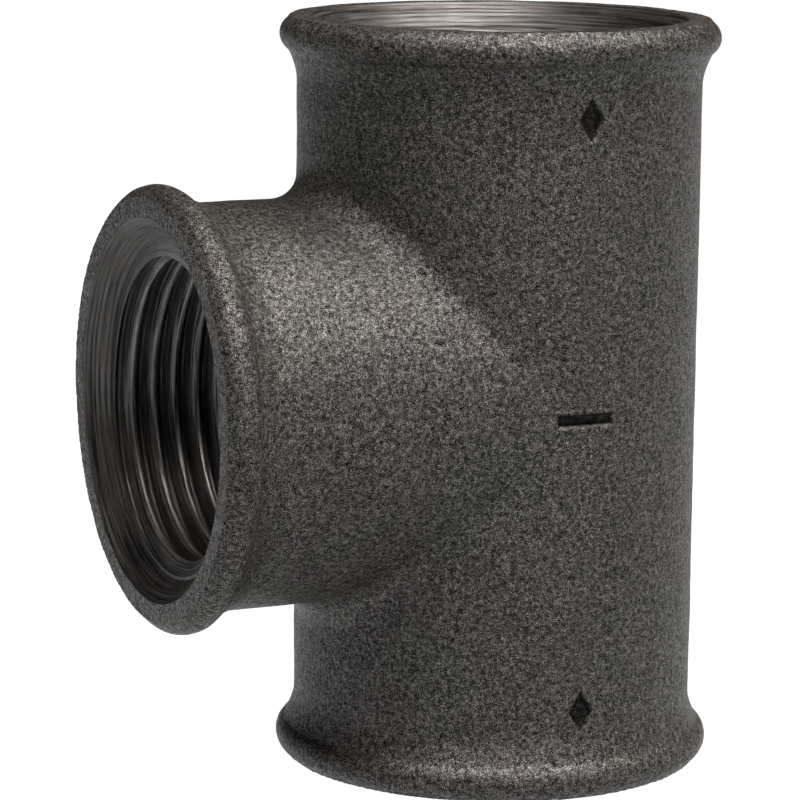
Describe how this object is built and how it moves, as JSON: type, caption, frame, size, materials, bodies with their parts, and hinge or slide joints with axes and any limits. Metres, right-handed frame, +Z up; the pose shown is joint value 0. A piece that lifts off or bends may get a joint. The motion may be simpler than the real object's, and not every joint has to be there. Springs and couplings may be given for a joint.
{
  "type": "pipe tee",
  "caption": "Equal pipe tee in black malleable cast iron: a straight run with a side branch, each port beaded, countersunk and tapped with an internal pipe thread.",
  "frame": {"origin": "centre of the lower end face of the run", "axes": "+Z up the run's axis, the branch points along -X, and the front with the recessed marks faces -Y"},
  "size_m": [0.0603, 0.0446, 0.076],
  "materials": {
    "cast_iron": "black, sand cast and lightly oiled, with turned countersinks and cut threads"
  },
  "bodies": {
    "root": {"tee_body": "cast_iron"}
  },
  "joints": []
}
